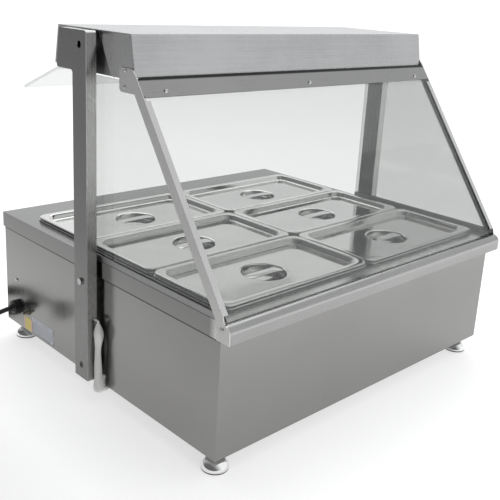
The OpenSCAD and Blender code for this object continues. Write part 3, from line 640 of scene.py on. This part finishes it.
for row in ROWS:
    for column in COLUMNS:
        pan_node, lid_node = f"pan_{row}_{column}", f"lid_{row}_{column}"
        pan_body, lid_body = f"{row}_{column}_pan", f"{row}_{column}_lid"
        mesh_object(f"drawn_{pan_node}", pan_mesh(*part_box(pan_node)), "pan_steel", pan_body, [pan_node])
        mesh_object(f"pressed_{lid_node}", lid_mesh(*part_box(lid_node)), "lid_steel", lid_body, [lid_node])
        mesh_object(f"strap_{lid_node}", strap_mesh(*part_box(lid_node)), "lid_steel", lid_body)


# ---------------------------------------------------------------- levelling feet

FOOT_H = 0.032
FOOT_PROFILE = [(0.0204, 0.0), (0.021, 0.0007), (0.021, 0.003), (0.0208, 0.0046), (0.02, 0.0078),
                (0.0182, 0.0112), (0.0156, 0.0143), (0.0124, 0.0168), (0.0095, 0.0182), (0.0083, 0.0192),
                (0.008, 0.0205),
                (0.008, FOOT_H - 0.0007), (0.0077, FOOT_H - 0.0004), (0.005, FOOT_H - 0.0004)]


def foot_mesh(low, high):
    """Pressed dome on a pad, with a round neck and the stem above it."""
    cx, cy = (low[0] + high[0]) / 2, (low[1] + high[1]) / 2
    profile = FOOT_PROFILE + [(0.005, high[2] - 0.0005), (0.0045, high[2])]
    turns = [math.radians(6 * k) for k in range(60)]
    return loft([[(cx + r * math.cos(a), cy + r * math.sin(a), z) for a in turns] for r, z in profile])


for corner in ("front_left", "front_right", "rear_left", "rear_right"):
    node = f"foot_{corner}"
    mesh_object(f"domed_{node}", foot_mesh(*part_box(node)), "foot_chrome", f"{corner}_foot", [node])


# ---------------------------------------------------------------- lamp lead sleeve

SLEEVE_X, SLEEVE_Y = -0.3594, -0.03


def sleeve_mesh():
    """Slack woven sleeve beside the left post: pinched, bulging, and spread where it meets the floor."""
    stations = [(150.5, 0.8, 0.8, 0.0), (148, 2.0, 1.8, 0.0), (142, 5.2, 4.2, 0.0), (135, 8.2, 6.4, -0.3),
                (127, 9.4, 7.4, -0.4), (118, 8.4, 6.6, -0.2), (108, 6.2, 5.2, 0.2), (100, 5.2, 4.8, 0.5),
                (92, 5.3, 4.8, 0.5), (78, 6.6, 5.6, 0.2), (64, 7.4, 6.0, 0.3), (52, 7.4, 6.0, 0.9),
                (42, 8.6, 6.8, 0.6), (35, 10.2, 8.0, -0.2), (30, 10.4, 8.2, -0.6), (25, 8.6, 6.8, -0.4),
                (22.5, 5.0, 4.4, 0.0)]
    rings = []
    for k, (z, wide, deep, shift) in enumerate(stations):
        ring = []
        for j in range(36):
            angle = 2 * math.pi * j / 36
            crease = 1 + 0.06 * math.sin(3 * angle + 0.8 * k) + 0.05 * math.sin(5 * angle - 0.55 * k)
            ring.append((SLEEVE_X + 0.001 * deep * crease * math.cos(angle),
                         SLEEVE_Y + 0.001 * (shift + wide * crease * math.sin(angle)), 0.001 * z))
        rings.append(ring)
    return loft(rings)


def tube_mesh(route, radius, sides=20):
    """Round tube along points, its ends closed."""
    rings = []
    side = None
    for i, point in enumerate(route):
        forward = (route[min(i + 1, len(route) - 1)] - route[max(i - 1, 0)]).normalized()
        side = forward.orthogonal() if side is None else side - forward * side.dot(forward)
        side.normalize()
        up = forward.cross(side)
        rings.append([point + radius(i / (len(route) - 1)) * (side * math.cos(a) + up * math.sin(a))
                      for a in (2 * math.pi * k / sides for k in range(sides))])
    return loft(rings)


def add_sleeve():
    piece = mesh_object("woven_sleeve", sleeve_mesh(), "sleeving", TABLE, ["lamp_lead_sleeve"], smooth=60)
    modifier = piece.modifiers.new("smooth", "SUBSURF")
    modifier.levels = modifier.render_levels = 2
    tuck = smooth_route([(-359.4, -29.6, 31), (-357, -29.8, 27.5), (-351, -30, 25.6), (-344, -30, 25),
                         (-338, -30, 27), (-335, -30, 32), (-334.4, -30, 38)], steps=4)
    mesh_object("sleeve_tuck", tube_mesh(tuck, lambda t: 0.0049 - 0.0006 * t), "sleeving", smooth=60)
    top = smooth_route([(-359.4, -30, 147), (-359.4, -29.2, 149.6), (-359.5, -25, 150.2),
                        (-359.5, -18, 149.4)])
    mesh_object("sleeve_top", tube_mesh(top, lambda t: 0.0018), "sleeving", smooth=60)


add_sleeve()


# ---------------------------------------------------------------- studio

def add_floor():
    """Pale plane that glows, so shadows stay faint: less towards the left, more towards the front."""
    bpy.ops.mesh.primitive_plane_add(size=240, location=(0, 0, 0))
    floor = bpy.context.object
    floor.name = "floor"
    paint = Paint("studio_floor", (0.6, 0.6, 0.6), roughness=0.6, Specular_IOR_Level=0.2,
                  Emission_Color=(1, 1, 1, 1))
    lit = paint.spread(paint.axis("X"), 0.14, 0.6, source=(-0.85, -0.5))
    front = paint.spread(paint.axis("Y"), 0.8, 0.0, source=(-1.3, -0.55))
    paint.link(paint.math("ADD", lit, front), paint.bsdf.inputs["Emission Strength"])
    paint.tint(paint.spread(paint.noise((3, 3, 3), detail=2), 0, 1), (0.59, 0.59, 0.59), (0.61, 0.61, 0.61))
    floor.data.materials.append(paint.material)


def add_light(name, place, aim, size, power, tone=(1, 1, 1)):
    data = bpy.data.lights.new(name, "AREA")
    data.shape = "RECTANGLE"
    data.size, data.size_y = size
    data.energy = power
    data.color = tone
    light = bpy.data.objects.new(name, data)
    light.location = place
    light.rotation_euler = (Vector(aim) - Vector(place)).to_track_quat("-Z", "Y").to_euler()
    bpy.context.collection.objects.link(light)


def add_world():
    """Bright to the customer's right and overhead, falling off towards the left."""
    world = bpy.data.worlds.new("studio")
    world.use_nodes = True
    tree = world.node_tree
    coords = tree.nodes.new("ShaderNodeTexCoord")
    lean = tree.nodes.new("ShaderNodeVectorMath")
    lean.operation = "DOT_PRODUCT"
    lean.inputs[1].default_value = (0.97, 0.05, 0.25)
    tree.links.new(coords.outputs["Generated"], lean.inputs[0])
    ramp = tree.nodes.new("ShaderNodeMapRange")
    ramp.interpolation_type = "SMOOTHSTEP"
    for socket, value in zip(("From Min", "From Max", "To Min", "To Max"), (-0.65, 0.45, 0.14, 1.05)):
        ramp.inputs[socket].default_value = value
    tree.links.new(lean.outputs["Value"], ramp.inputs["Value"])
    background = tree.nodes["Background"]
    background.inputs["Color"].default_value = (0.98, 0.99, 1, 1)
    tree.links.new(ramp.outputs["Result"], background.inputs["Strength"])
    bpy.context.scene.world = world


def add_studio():
    add_floor()
    add_light("overhead", (0.9, 0.9, 2.4), (0.1, 0.1, 0.2), (2.6, 2.6), 28)
    add_world()
    bpy.context.scene.view_settings.view_transform = "Standard"


add_studio()
